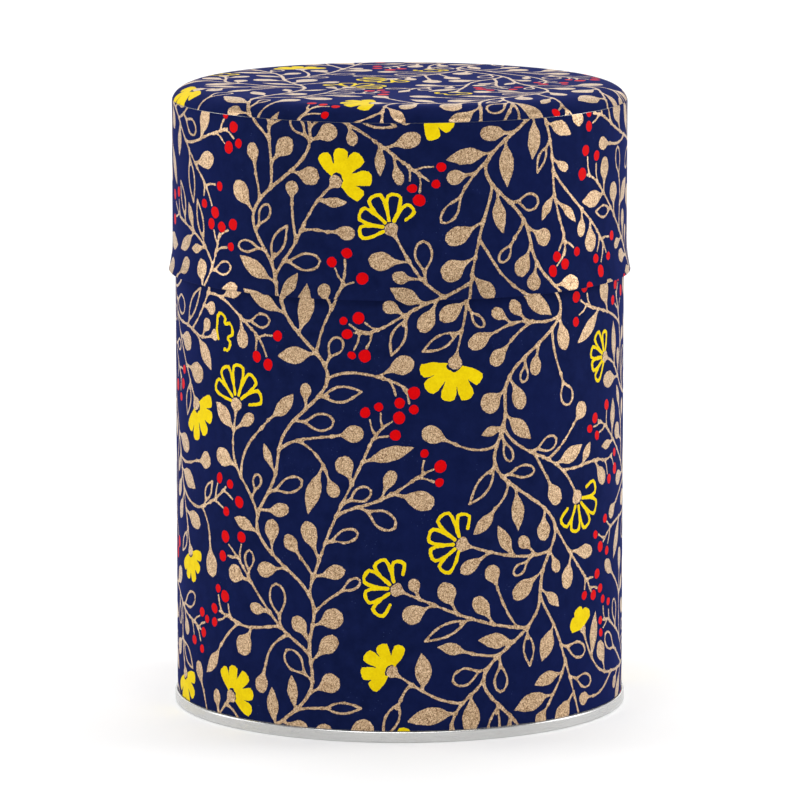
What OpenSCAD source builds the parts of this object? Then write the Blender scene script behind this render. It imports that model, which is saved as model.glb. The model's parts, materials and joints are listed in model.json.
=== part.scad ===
// Paper-covered round tea and spice caddy: a tinplate tube with a double-seamed base, a deep slip-on
// lid with a flared lower edge, and a plug-in inner lid with a pressed knob. Decorated paper is glued
// round the tube, round the lid's side and over the lid's top. Millimetres, +Z up, base plane at z = 0.

/* [Overall] */
// Height over everything, lid closed
height = 114; // [100:1:130]
// Diameter of the lid's side, over its paper
lid_od = 83; // [70:0.5:96]
// How far the body's paper lies inside the lid's paper, on the radius
body_gap = 0.5; // [0.5:0.05:0.8]

/* [Sheet stock] */
// Thickness of the tinplate
tin_t = 0.18; // [0.16:0.01:0.2]
// Thickness of the decorated paper
paper_t = 0.15; // [0.1:0.01:0.16]

/* [Outer lid] */
// Depth of the lid from its top to its lower edge
lid_depth = 34.2; // [28:0.2:40]
// How far the lower edge flares out, on the radius
flare = 0.76; // [0.5:0.01:0.9]
// Height of the flared zone
flare_h = 5.7; // [4:0.1:8]
// Radial width of the rounded shoulder
shoulder_w = 5.2; // [4:0.1:7]
// Height of the rounded shoulder
shoulder_h = 3.2; // [3:0.1:4]
// Rise of the crowned top inside the shoulder
crown = 0.1; // [0.05:0.05:0.2]
// Height on the shoulder where the side paper meets the top paper
paper_joint = 0.5; // [0.3:0.05:0.8]
// How far the side paper turns in under the lower edge
turn_in = 2.2; // [1.5:0.1:2.5]

/* [Body] */
// How far the body paper runs up inside the closed lid
paper_tuck = 4; // [2:0.2:5]
// Length of the hem folded down inside the mouth
hem_h = 3; // [2:0.2:4]
// Width of the glued overlap at the back of each paper wrap
lap_w = 6; // [4:0.5:9]
// Width of the tube's folded side seam, inside at the back
side_seam_w = 3; // [2:0.2:4]

/* [Base] */
// Height of the double seam round the base
seam_h = 2.04; // [1.9:0.02:2.4]
// Height of the recessed base panel over the base plane
panel_z = 2.2; // [2:0.1:3]
// Rise of the base panel's raised centre
panel_step = 0.8; // [0.4:0.1:1.2]

/* [Inner lid] */
// Depth of the pan below its flange
pan_depth = 8.5; // [7:0.1:10]
// Running clearance between the pan and the hem, on the radius
pan_clearance = 0.2; // [0.15:0.01:0.3]
// Radius of the pan's raised centre
pan_step_r = 25; // [18:1:30]
// Rise of the pan's raised centre
pan_step = 0.6; // [0.3:0.1:0.8]

/* [Knob] */
// Diameter of the knob's crown
knob_d = 14; // [12:0.5:16]
// Height of the knob over the pan
knob_h = 7.2; // [6:0.1:7.6]
// Outside radius of the hollow rivet that holds the knob
eyelet_r = 2.5; // [2:0.1:3]

/* [Hidden] */
$fn = 180;

tin_colour = "silver";
paper_colour = "midnightblue";

glue = 0.01;                             // space between a sheet and what it lies against
seam_gap = 0.02;                         // space between the folded layers of a seam
lid_slack = 0.2;                         // vertical gap between the closed lid and the inner lid
back = 90;                               // direction of every overlap and seam

lid_r = lid_od / 2;                      // over the side paper
body_r = lid_r - body_gap;               // over the body paper
tube_r = body_r - paper_t;               // outside of the bare tube
edge_z = height - lid_depth;             // lid's lower edge
shoulder_z = height - crown - shoulder_h;

// Middle of the sheet in each upright layer of the base seam, from inside to outside
layer = tin_t + seam_gap;
wall_r = tube_r - tin_t / 2;
chuck_r = wall_r - layer;
cover_hook_r = wall_r + layer;
body_hook_r = wall_r + 2 * layer;
seam_r = wall_r + 3 * layer;
cover_hook_z = 0.78;                     // end of the cover hook
body_hook_z = seam_h - 0.6;              // end of the body hook

hem_r = wall_r - layer - seam_gap;       // middle of the layer folded in at the mouth
pan_r = hem_r - tin_t - pan_clearance;   // middle of the pan's upright wall
flange_r = wall_r + 0.05;                // outer edge of the pan's flange

// The rim stops just short of the underside of the closed lid's shoulder.
rim_reach = (flange_r - lid_r + shoulder_w) / (shoulder_w - paper_t - tin_t);
rim_z = shoulder_z + (shoulder_h - paper_t - tin_t) * sqrt(1 - rim_reach * rim_reach) - lid_slack - layer;
pan_z = rim_z - pan_depth;

knob_t = 0.3;                            // sheet that the knob is pressed from
washer_t = 0.4;
rivet_foot = 0.4;                        // radius of the rivet's spread tail
pan_top = pan_z + pan_step + tin_t / 2;  // upper face of the pan where the knob stands
head_z = pan_top + knob_h * 0.55;        // middle of the rivet's head, inside the crown
crown_curl = knob_t + 0.1;               // radius of the crown's edge, turned in under the head

// ---- Sheet profiles: a path in (radius, height), thickened to both sides ----

function unit(v) = v / norm(v);
function left(v) = [-v[1], v[0]];
function last(p) = len(p) - 1;
function heading(p, i) =
    i == 0 ? unit(p[1] - p[0]) :
    i == last(p) ? unit(p[i] - p[i - 1]) :
    unit(unit(p[i] - p[i - 1]) + unit(p[i + 1] - p[i]));
function mitre(p, i) = i == 0 ? 1 : 1 / (heading(p, i) * unit(p[i] - p[i - 1]));
// The path moved sideways by d, to its left
function beside(p, d) = [for (i = [0:last(p)]) p[i] + d * mitre(p, i) * left(heading(p, i))];
function reversed(p) = [for (i = [last(p):-1:0]) p[i]];
function stretch(p, i0, i1) = [for (i = [i0:i1]) p[i]];
function snap_to_axis(p) = [for (q = p) [q[0] < seam_gap ? 0 : q[0], q[1]]];
function sheet(p, t) = snap_to_axis(concat(beside(p, t / 2), reversed(beside(p, -t / 2))));
// A ply whose faces lie at depths d0 and d1 to the right of a path, along its points i0 to i1
function ply(p, d0, d1, i0, i1) =
    snap_to_axis(concat(stretch(beside(p, -d0), i0, i1), reversed(stretch(beside(p, -d1), i0, i1))));

// An arc about c with radii r = [across, up], from angle a0 to a1 in n steps
function bend(c, r, a0, a1, n) =
    [for (i = [0:n]) let (a = a0 + (a1 - a0) * i / n) c + [r[0] * cos(a), r[1] * sin(a)]];
// A smooth S from height z0 to z1 between two radii
function step_curve(r0, z0, r1, z1, n) =
    [for (i = [0:n]) [r0 + (r1 - r0) * i / n, (z0 + z1) / 2 + (z0 - z1) / 2 * cos(180 * i / n)]];
function rectangle(r0, z0, r1, z1) = [[r0, z0], [r1, z0], [r1, z1], [r0, z1]];

module revolved(outline) {
    rotate_extrude() polygon(outline);
}
// A strip of the revolved outline, w wide at radius r, centred on the back
module back_strip(outline, w, r) {
    span = w / r * 180 / PI;
    rotate([0, 0, back - span / 2]) rotate_extrude(angle = span) polygon(outline);
}

// ---- The closed lid's outside, from the axis over the shoulder and down to the lower edge ----

joint_angle = asin(paper_joint / shoulder_h);
joint_cut = 1;                           // angle on the shoulder between the two papers' edges
lip_tilt = atan(2 * flare / flare_h);    // slope of the lower edge
lip_mid = paper_t + glue + tin_t / 2;    // depth of the middle of the metal under the paper
turn = tin_t / 2 + glue + paper_t / 2;   // radius of the paper's turn round the metal's edge
metal_z = edge_z + turn + paper_t / 2 + lip_mid * sin(lip_tilt);

function flared(z) = flare * pow(max(0, edge_z + flare_h - z) / flare_h, 2);
function lid_top() =
    [for (i = [0:5]) let (s = i / 5) [s * (lid_r - shoulder_w), height - crown * s * s]];
function lid_shoulder(a0, a1, n) =
    bend([lid_r - shoulder_w, shoulder_z], [shoulder_w, shoulder_h], a0, a1, n);
function lid_flare(z0, z1, n) = [for (i = [0:n]) let (z = z0 + (z1 - z0) * i / n) [lid_r + flared(z), z]];

above_joint = concat(lid_top(), lid_shoulder(80, joint_angle + joint_cut, 9));
below_joint = concat(lid_shoulder(joint_angle, 0, 3), lid_flare(edge_z + flare_h, edge_z + turn_in, 6));
turned_steps = 4;
turned = lid_flare(edge_z + turn_in, metal_z, turned_steps);
lid_outside = concat(above_joint, below_joint, stretch(turned, 1, turned_steps));
lid_end = last(lid_outside);
side_start = len(above_joint);           // first point of the side paper

// ---- Body group ----

module body_tube() {
    hook_z = tin_t + seam_gap + layer + tin_t / 2;
    fold = (wall_r - hem_r) / 2;         // radius of the fold at the rim
    lock_t = 2 * tin_t;                  // layers of the side seam that stand inside the wall
    lock_z = panel_z + 1;
    lock_top = rim_z - hem_h - lid_slack;
    path = concat(
        [[body_hook_r, body_hook_z]],
        bend([cover_hook_r, hook_z], [layer, layer], 0, -180, 8),
        bend([hem_r + fold, rim_z - fold - tin_t / 2], [fold, fold], 0, 180, 6),
        [[hem_r, rim_z - hem_h]]);
    color(tin_colour) union() {
        revolved(sheet(path, tin_t));
        back_strip(rectangle(wall_r - lock_t, lock_z, wall_r, lock_top), side_seam_w, wall_r);
    }
}

module base_end() {
    foot_bend = 0.25;                    // corner radius at the foot of the seam
    foot_z = tin_t / 2 + foot_bend;
    top_z = seam_h - layer - tin_t / 2;
    corner = 0.5;                        // bend between the panel and the chuck wall
    step_r = chuck_r * 0.76;
    step_w = 2;
    path = concat(
        [[0, panel_z + panel_step]],
        step_curve(step_r, panel_z + panel_step, step_r + step_w, panel_z, 8),
        bend([chuck_r - corner, panel_z - corner], [corner, corner], 90, 0, 6),
        bend([chuck_r + foot_bend, foot_z], [foot_bend, foot_bend], 180, 270, 5),
        bend([seam_r - foot_bend, foot_z], [foot_bend, foot_bend], -90, 0, 5),
        bend([body_hook_r, top_z], [layer, layer], 0, 180, 8),
        [[cover_hook_r, cover_hook_z]]);
    color(tin_colour) revolved(sheet(path, tin_t));
}

// Dried sealing compound in the pocket over the end of the body hook
module base_seam_compound() {
    bead = 0.16;
    low = body_hook_z + seam_gap;
    color("dimgray") revolved(rectangle(body_hook_r - bead / 2, low, body_hook_r + bead / 2, low + bead));
}

module body_wrap() {
    low = seam_h + 0.06;
    high = edge_z + paper_tuck;
    color(paper_colour) union() {
        revolved(rectangle(tube_r, low, body_r, high));
        back_strip(rectangle(body_r, low, body_r + paper_t, high), lap_w, body_r);
    }
}

// ---- Outer lid group ----

module lid_shell() {
    color(tin_colour) revolved(ply(lid_outside, paper_t + glue, paper_t + glue + tin_t, 0, lid_end));
}

// Paper round the side, from the joint on the shoulder down and round the flared edge to the inside
module lid_side_wrap() {
    outer = stretch(beside(lid_outside, -paper_t / 2), side_start, lid_end);
    metal_end = beside(lid_outside, -lip_mid)[lid_end];
    inner = stretch(beside(lid_outside, -lip_mid - turn), lid_end - turned_steps, lid_end);
    tilt = atan2(outer[last(outer)][1] - metal_end[1], outer[last(outer)][0] - metal_end[0]);
    round_edge = bend(metal_end, [turn, turn], tilt, tilt - 180, 8);
    path = concat(outer, stretch(round_edge, 1, 7), reversed(inner));
    color(paper_colour) union() {
        revolved(sheet(path, paper_t));
        back_strip(ply(lid_outside, -paper_t, 0, side_start, lid_end), lap_w, lid_r);
    }
}

module lid_top_wrap() {
    color(paper_colour) revolved(ply(lid_outside, 0, paper_t, 0, side_start - 1));
}

// ---- Inner lid group ----

module inner_lid_pan() {
    floor_bend = 1.2;                    // corner between the pan's wall and floor
    lip = 0.3;                           // corner between the wall and the flange
    flange_z = rim_z + layer - tin_t / 2;
    step_w = 2;
    path = concat(
        [[eyelet_r + seam_gap, pan_z + pan_step]],
        step_curve(pan_step_r, pan_z + pan_step, pan_step_r + step_w, pan_z, 8),
        bend([pan_r - floor_bend, pan_z + floor_bend], [floor_bend, floor_bend], -90, 0, 6),
        bend([pan_r + lip, flange_z - lip], [lip, lip], 180, 90, 4),
        [[flange_r, flange_z]]);
    color(tin_colour) revolved(sheet(path, tin_t));
}

// Hollow rivet: its wide head is held inside the crown, its tail is spread under the washer
module knob_eyelet() {
    r = eyelet_r - knob_t / 2;
    neck = 0.6;
    spread = 1.5;
    tail_z = pan_top - tin_t - washer_t - seam_gap - knob_t / 2;
    path = concat(
        [[knob_d / 2 - knob_t - crown_curl + 0.1, head_z]],
        bend([r + neck, head_z - neck], [neck, neck], 90, 180, 5),
        bend([r + rivet_foot, tail_z + rivet_foot], [rivet_foot, rivet_foot], 180, 270, 4),
        [[r + spread, tail_z]]);
    color(tin_colour) revolved(sheet(path, knob_t));
}

// Domed cap, its edge turned in under the eyelet's head
module knob_crown() {
    r = knob_d / 2 - knob_t / 2;
    widest = head_z + 0.05;
    dome = pan_top + knob_h - knob_t / 2 - widest;
    hem = 0.8;
    path = concat(
        bend([0, widest], [r, dome], 90, 0, 14),
        bend([r - crown_curl, widest], [crown_curl, crown_curl], -15, -90, 5),
        [[r - crown_curl - hem, widest - crown_curl]]);
    color(tin_colour) revolved(sheet(path, knob_t));
}

module knob_washer() {
    low = pan_top - tin_t - glue - washer_t;
    color(tin_colour) translate([0, 0, low]) difference() {
        cylinder(r = eyelet_r * 2, h = washer_t);
        translate([0, 0, -1]) cylinder(r = eyelet_r + rivet_foot, h = washer_t + 2);
    }
}

body_tube();
base_end();
base_seam_compound();
body_wrap();
lid_shell();
lid_side_wrap();
lid_top_wrap();
inner_lid_pan();
knob_eyelet();
knob_crown();
knob_washer();
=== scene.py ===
"""Paper-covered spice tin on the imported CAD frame, with its print, its tinplate and a studio.

The print and the profiles are in millimetres, the scene in metres.
"""

import json
import math

import bpy
import numpy as np
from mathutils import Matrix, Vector
from mathutils.geometry import delaunay_2d_cdt


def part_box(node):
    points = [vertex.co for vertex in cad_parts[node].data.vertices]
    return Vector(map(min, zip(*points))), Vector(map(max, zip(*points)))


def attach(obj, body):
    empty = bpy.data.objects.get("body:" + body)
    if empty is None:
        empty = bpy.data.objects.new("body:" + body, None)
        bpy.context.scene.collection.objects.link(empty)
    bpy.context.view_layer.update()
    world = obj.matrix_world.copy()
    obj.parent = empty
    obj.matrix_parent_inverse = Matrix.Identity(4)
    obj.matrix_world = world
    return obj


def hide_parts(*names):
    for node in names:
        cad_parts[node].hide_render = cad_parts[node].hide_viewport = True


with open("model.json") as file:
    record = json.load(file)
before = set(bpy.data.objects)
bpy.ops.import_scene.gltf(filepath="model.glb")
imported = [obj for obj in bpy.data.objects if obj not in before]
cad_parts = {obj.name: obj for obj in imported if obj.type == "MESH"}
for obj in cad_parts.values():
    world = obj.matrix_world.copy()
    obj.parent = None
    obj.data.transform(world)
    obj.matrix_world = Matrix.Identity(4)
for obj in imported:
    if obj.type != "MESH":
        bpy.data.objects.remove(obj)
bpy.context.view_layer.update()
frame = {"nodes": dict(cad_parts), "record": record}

SIDE_SEED, TOP_SEED = 12, 8
TURN = 2 * math.pi

# ---- ink on flat paper ----

INKS = ("tan", "yellow", "red")
FINE, COARSE = 0.1, 0.5  # steps of the ink fields and of the free-space field
FAR = 11.0  # reach of the free-space field
BIG = 99.0  # more than any distance or cost that counts
TWIG, STEM, PETAL_LINE, BUD_LINE = 0.21, 0.29, 0.3, 0.29  # half-widths of lines of ink
FILLET = 0.5  # how far joining strokes flow together
STEP = 1.1  # length of one step of a growing stem
STALK_APART = 3.4  # least distance between the places where stems leave one another
# least and greatest length, least and greatest width
POINTED_LEAF, ROUND_LEAF = ((5.7, 8.3), (2.4, 3.2)), ((4.6, 6.3), (2.7, 3.8))
# shares of all leaves, flowers and buds
POINTED, OPEN_LEAF, OPEN_FLOWER, OPEN_BUD = 0.45, 0.17, 0.35, 0.5
# how far each ending of a stem reaches ahead, and its half-width
ENDINGS = {"flower": (8.8, 6.0), "berries": (6.0, 2.8), "bud": (6.8, 3.5)}
# free space that a gap needs for each ending, and the range of lengths of the stem that fills it
GAPS = {"flower": (4.8, (6, 26)), "berries": (3.7, (5, 20)), "bud": (3.2, (3, 18))}
LEAF_GAPS = ((3.0, 1.0), (2.5, 0.88), (2.1, 0.75))  # free space that a single leaf needs, and its size
LEAF_REACH, LEAF_APART = (1.2, 9), 1.6  # length of its stem, and least distance between two such stems
TRIES, MOST_LEAVES = 5, 300  # gaps looked at for each ending wanted, and for each size of leaf
SPOT = 1.3  # radius of a gap that is not looked at again
SIDE_MAINS = 6  # main stems up and down the side sheet
TOP_MAINS = (-23.0, 19.0)  # where main stems cross the top sheet
# the most of each ending that gaps are filled with
SIDE_FILL = {"flower": 10, "berries": 32, "bud": 24}
TOP_FILL = {"flower": 3, "berries": 8, "bud": 5}


def turn(angle):
    """The unit vector at an angle."""
    return np.array([math.cos(angle), math.sin(angle)])


def half_turns(angle):
    """The same direction as an angle between minus and plus half a turn."""
    return (angle + math.pi) % TURN - math.pi


def turned(angles):
    """Unit vectors at some angles."""
    return np.column_stack([np.cos(angles), np.sin(angles)])


def lengths(vectors):
    return np.hypot(*vectors.T)


def unit(vectors):
    return vectors / np.linalg.norm(vectors, axis=1)[:, None]


def segments(x, y, a, b):
    d = b - a
    px, py = x[..., None] - a[:, 0], y[..., None] - a[:, 1]
    t = np.clip((px * d[:, 0] + py * d[:, 1]) / np.maximum((d ** 2).sum(1), 1e-9), 0, 1)
    return px, py, d, t, np.hypot(px - t * d[:, 0], py - t * d[:, 1])


def to_line(x, y, pts, radii):
    """Distance from points to a polyline whose radius changes along it."""
    _, _, _, t, far = segments(x, y, pts[:-1], pts[1:])
    return (far - (radii[:-1] + np.diff(radii) * t)).min(-1)


def to_outline(x, y, pts):
    """Signed distance from points to a closed outline, negative inside."""
    a, b = pts, np.roll(pts, -1, 0)
    px, py, d, _, far = segments(x, y, a, b)
    above = (py < 0) != (y[..., None] < b[:, 1])
    slope = d[:, 0] / np.where(np.abs(d[:, 1]) < 1e-9, 1e-9, d[:, 1])
    inside = (above & (px < slope * py)).sum(-1) % 2 == 1
    return np.where(inside, -1, 1) * far.min(-1)


def within(outline, margin=0.0):
    return lambda x, y: to_outline(x, y, outline) - margin


class Ink:
    """Distance fields of the tan, yellow and red inks on a sheet that may join up with itself."""

    def __init__(self, low, high, wraps, seed, rim=None):
        self.low, self.high, self.wraps, self.rim = np.array(low, float), np.array(high, float), wraps, rim
        self.rng = np.random.default_rng(seed)
        self.n = tuple(np.round((self.high - self.low) / FINE).astype(int))
        self.cn = tuple(np.round((self.high - self.low) / COARSE).astype(int))
        self.fields = {name: np.full(self.n[::-1], BIG, np.float32) for name in INKS}
        self.free = np.full(self.cn[::-1], FAR, np.float32)
        x = self.low[0] + (np.arange(self.cn[0]) + 0.5) * COARSE
        y = self.low[1] + (np.arange(self.cn[1]) + 0.5) * COARSE
        self.cx, self.cy = np.meshgrid(x, y)
        self.closed = np.zeros_like(self.free)  # spots that are not to be filled
        self.nodes = np.zeros((0, 3))  # x, y and heading of points a branch may leave from
        self.used = np.zeros((0, 2))  # where branches have left

    def window(self, pts, margin, step, n):
        """Middles of the cells round some points and their places in a field. None off the sheet."""
        low = np.floor((pts.min(0) - margin - self.low) / step).astype(int)
        high = np.ceil((pts.max(0) + margin - self.low) / step).astype(int)
        low[1], high[1] = max(low[1], 0), min(high[1], n[1])
        if self.wraps:
            high[0] = min(high[0], low[0] + n[0])
        else:
            low[0], high[0] = max(low[0], 0), min(high[0], n[0])
        if min(high - low) <= 0:
            return None
        ix, iy = np.arange(low[0], high[0]), np.arange(low[1], high[1])
        x, y = np.meshgrid(self.low[0] + (ix + 0.5) * step, self.low[1] + (iy + 0.5) * step)
        return x, y, np.ix_(iy, ix % n[0])

    def put(self, name, pts, grow, distance, blend=0.0, solid=None):
        """Adds a shape within grow of pts. solid is its distance field if filled in, for an open shape."""
        pts = np.atleast_2d(pts)
        fine = self.window(pts, grow + 0.7, FINE, self.n)
        if fine:
            x, y, at = fine
            old, new = self.fields[name][at], distance(x, y)
            mixed = np.minimum(old, new)
            if blend:
                h = np.clip(0.5 + 0.5 * (old - new) / blend, 0, 1)
                flowing = old * (1 - h) + new * h - blend * h * (1 - h)
                mixed = np.where(np.abs(old - new) < blend, flowing, mixed)
            self.fields[name][at] = mixed
        wide = self.window(pts, grow + FAR, COARSE, self.cn)
        if wide:
            x, y, at = wide
            self.free[at] = np.minimum(self.free[at], (solid or distance)(x, y))

    def onto(self, i, n):
        """Columns and rows of cells, brought round a sheet that joins up, or else to its edge."""
        x = i[:, 0] % n[0] if self.wraps else np.clip(i[:, 0], 0, n[0] - 1)
        return x, np.clip(i[:, 1], 0, n[1] - 1)

    def room(self, pts):
        """The free space round points; off the sheet it has no limit."""
        i = np.floor((np.atleast_2d(pts) - self.low) / COARSE).astype(int)
        x, y = self.onto(i, self.cn)
        off = y != i[:, 1]
        if not self.wraps:
            off |= x != i[:, 0]
        return np.where(off, FAR, self.free[y, x])

    def toward(self, pts, goal):
        """From points to a goal, the short way round a sheet that joins up."""
        gap = goal - pts
        if self.wraps:
            w = self.high[0] - self.low[0]
            gap[..., 0] = (gap[..., 0] + w / 2) % w - w / 2
        return gap


# ---- shapes ----

def stroke(ink, pts, r0, r1):
    """A line of ink with slightly uneven width, laid in short lengths."""
    pts = np.asarray(pts, float)
    swell = 1 + 0.07 * np.sin(np.arange(len(pts)) * 1.9 + pts[0, 0])
    radii = np.linspace(r0, r1, len(pts)) * swell
    for i in range(0, len(pts) - 1, 10):
        p, r = pts[i:i + 11], radii[i:i + 11]
        ends = i == 0 or i + 11 >= len(pts)  # only these flow into what they touch
        ink.put("tan", p, max(r0, r1), lambda x, y: to_line(x, y, p, r), FILLET if ends else 0.12)


def leaf_outline(pointed, base, heading, length, width, curl):
    """A leaf's outline from its base along a gently curled midrib."""
    t = np.linspace(0, 1, 15)
    if pointed:
        half = width / 2 * np.sin(math.pi * t ** 0.92)
    else:
        widest = 0.6
        rise = (0.5 - 0.5 * np.cos(math.pi * np.minimum(t / widest, 1))) ** 0.8
        fall = np.sqrt(np.clip(1 - ((t - widest) / (1 - widest)) ** 2, 0, 1))
        half = width / 2 * np.where(t < widest, rise, fall)
    a = heading + curl * (t - 0.5)
    steps = turned(a) * length / (len(t) - 1)
    mid = base + np.concatenate([[[0, 0]], np.cumsum(steps[:-1], 0)])
    side = np.stack([-np.sin(a), np.cos(a)], 1) * half[:, None]
    return np.concatenate([mid + side, (mid - side)[-2:0:-1]])


def leaf(ink, foot, heading, size=1.0, clear=0.6):
    """A leaf on a short stalk, solid or drawn as a loop. False if there is no room."""
    rng = ink.rng
    pointed, hollow = rng.random() < POINTED, rng.random() < OPEN_LEAF
    lengths, widths = POINTED_LEAF if pointed else ROUND_LEAF
    length = size * rng.uniform(*lengths)
    width = size * rng.uniform(*widths) * (0.86 if hollow else 1.0)
    stalk = rng.uniform(0.5, 1.7)
    bow = rng.uniform(-0.35, 0.35)
    base = foot + stalk * turn(heading - bow * 0.6)
    outline = leaf_outline(pointed, base, heading, length, width, bow)
    far_part = outline[np.linalg.norm(outline - foot, axis=1) > 1.9]
    if ink.room(far_part).min() < clear:
        return False
    into = base + 0.14 * length * turn(heading - bow * 0.4)
    stroke(ink, [foot, (foot + base) / 2, base, into], TWIG, TWIG * 0.95)
    if hollow:
        ink.put("tan", outline, TWIG, lambda x, y: np.abs(to_outline(x, y, outline)) - TWIG, FILLET * 0.6,
                within(outline, TWIG))
    else:
        ink.put("tan", outline, 0, within(outline), FILLET)
    return True


def berries(ink, foot, heading, size=1.0):
    """A feathery twig with a berry off the end of each prong. False if there is no room."""
    rng = ink.rng
    count = int(rng.integers(4, 7))
    spine = size * (1.4 + 0.75 * count)
    bow = rng.uniform(-0.35, 0.35)

    def on_spine(t):
        return foot + spine * t * turn(heading + bow * t)
    prongs = [(on_spine(1), heading + bow * 1.5, 0.0)]
    for i, t in enumerate(np.linspace(0.2, 0.82, count - 1)):
        lean = (1 if i % 2 else -1) * rng.uniform(0.7, 1.0)
        prongs.append((on_spine(t), heading + bow * t + lean, rng.uniform(2.2, 3.3) * size))
    spots, twigs = [], []
    for p, a, length in prongs:
        end = p + length * turn(a)
        r = rng.uniform(0.75, 1.15)
        spot = end + (r + rng.uniform(0.15, 0.7)) * turn(a + rng.uniform(-0.3, 0.3))
        apart = all(np.linalg.norm(spot - s) > r + q + 0.35 for s, q in spots)
        if apart and ink.room(spot)[0] > r + 0.3:
            spots.append((spot, r))
            if length:
                twigs.append([p, p + 0.5 * length * turn(a + 0.15), end])
    if len(spots) < 3:
        return False
    stroke(ink, [on_spine(t) for t in np.linspace(0, 1, 6)], TWIG, TWIG * 0.9)
    for twig in twigs:
        stroke(ink, twig, TWIG * 0.9, TWIG * 0.85)
    for spot, r in spots:
        oval, lean = rng.uniform(0.86, 1.0), rng.uniform(0, math.pi)
        c, s = math.cos(lean), math.sin(lean)
        ink.put("red", spot, r, lambda x, y: np.hypot(
            ((x - spot[0]) * c + (y - spot[1]) * s) / oval, (y - spot[1]) * c - (x - spot[0]) * s) - r)
    return True


def fan(rng, centre, heading, count, spread, length, inner, notch):
    """The petals of a fan: a line round each, from its foot over its blunt tip and back."""
    half = spread / count / 2
    reach = length * rng.uniform(0.93, 1.05, count) * (1 - 0.1 * np.linspace(-1, 1, count) ** 2)
    middles = heading + np.linspace(half - spread / 2, spread / 2 - half, count)
    middles += rng.uniform(-0.04, 0.04, count)
    lines = []
    for a, far in zip(middles, reach):
        polar = [(-0.96, inner), (-0.96, notch), (-0.8, far * 0.8), (-0.62, far * 0.96), (-0.25, far),
                 (0.25, far), (0.62, far * 0.95), (0.8, far * 0.8), (0.96, notch), (0.96, inner)]
        lines.append(np.array([centre + r * turn(a + half * o) for o, r in polar]))
    return lines


def cup(ink, foot, heading, length, width):
    """The bell that a flower sits in; returns its brim."""
    outline = leaf_outline(False, foot - 0.4 * turn(heading), heading, length, width, 0.0)
    ink.put("tan", outline, 0, within(outline), FILLET)
    return foot + (length - 0.4) * turn(heading)


def drawn(lines, width):
    return lambda x, y: np.min([to_line(x, y, p, np.full(len(p), width)) for p in lines], 0)


def flower(ink, foot, heading, size=1.0, hollow=False):
    """A fan of five petals held off a round calyx."""
    rng = ink.rng
    brim = cup(ink, foot, heading, 3.1 * size, rng.uniform(2.6, 3.0) * size)
    centre = brim - 0.9 * size * turn(heading)
    spread = math.radians(rng.uniform(172, 192))
    petals = fan(rng, centre, heading, 5, spread, length=6.7 * size, inner=1.5 * size, notch=3.3 * size)
    ragged = [centre + rng.uniform(1.2, 1.75) * size * turn(heading + a)
              for a in np.linspace(spread / 2, -spread / 2, 9)]
    outline = np.concatenate([p[1:-1] for p in petals] + [ragged])
    filled = within(outline, 0.08)
    if hollow:
        # an outer petal's line may stop short of the calyx
        if rng.random() >= 0.6:
            petals[0] = petals[0][1:]
        if rng.random() >= 0.6:
            petals[-1] = petals[-1][:-1]
        ink.put("yellow", np.concatenate(petals), 0.4, drawn(petals, PETAL_LINE), 0.0, filled)
    else:
        ink.put("yellow", outline, 0.2, filled)


def bud(ink, foot, heading, size=1.0, hollow=False):
    """A small side flower with three or four blunt lobes in a cup."""
    rng = ink.rng
    brim = cup(ink, foot, heading, 2.4 * size, 1.9 * size)
    centre = brim - 0.4 * size * turn(heading)
    count = int(rng.integers(3, 5))
    spread = math.radians(rng.uniform(120, 165))
    lobes = fan(rng, centre, heading, count, spread, length=4.3 * size, inner=0.9 * size, notch=3.2 * size)
    feet = [[centre + 0.9 * turn(heading + side * spread / 2)] for side in (-1, 1)]
    outline = np.concatenate([feet[0]] + [p[1:-1] for p in lobes] + [feet[1]])
    filled = within(outline, 0.3)
    if hollow:
        line = [np.concatenate([outline, outline[:1]])[int(rng.integers(0, 2)):]]
        ink.put("yellow", outline, 0.4, drawn(line, BUD_LINE), 0.0, filled)
    else:
        ink.put("yellow", outline, 0.3, filled)


# ---- growth ----

def curve(p0, a0, p1, a1):
    gap = np.linalg.norm(p1 - p0)
    t = np.linspace(0, 1, max(6, int(gap / 0.9)))[:, None]
    c0, c1 = p0 + 0.38 * gap * turn(a0), p1 - 0.38 * gap * turn(a1)
    return (1 - t) ** 3 * p0 + 3 * t * (1 - t) ** 2 * c0 + 3 * t * t * (1 - t) * c1 + t ** 3 * p1


def headings(pts):
    d = np.gradient(pts, axis=0)
    return np.arctan2(d[:, 1], d[:, 0])


def add_nodes(ink, pts, first=1):
    ink.nodes = np.concatenate([ink.nodes, np.column_stack([pts, headings(pts)])[first:-1:2]])


def may_leave(ink, p, apart):
    """Whether a branch may leave here, away from the others."""
    return not len(ink.used) or lengths(ink.toward(ink.used, p)).min() > apart


def march(ink, p, heading, pull, length, clear=3.0):
    """A stem that steers itself into free space, pulled towards one heading."""
    rng = ink.rng
    pts = [p]
    looks = np.linspace(-0.5, 0.5, 7)
    travelled, swerve = 0.0, 0.0
    while travelled < length:
        ahead = heading + looks
        near, far = (ink.room(p + reach * turned(ahead)) for reach in (3.2, 7.0))
        away = np.abs(half_turns(ahead - pull))
        score = np.minimum(near, 4.5) + 0.7 * np.minimum(far, 7) - 1.1 * away
        if near[2:5].max() < clear and travelled > 5:
            break
        swerve = 0.6 * swerve + 0.4 * (0.28 * looks[int(np.argmax(score))] + rng.uniform(-0.05, 0.05))
        heading += swerve
        p = p + STEP * turn(heading)
        pts.append(p)
        travelled += STEP
    return np.array(pts)


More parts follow.
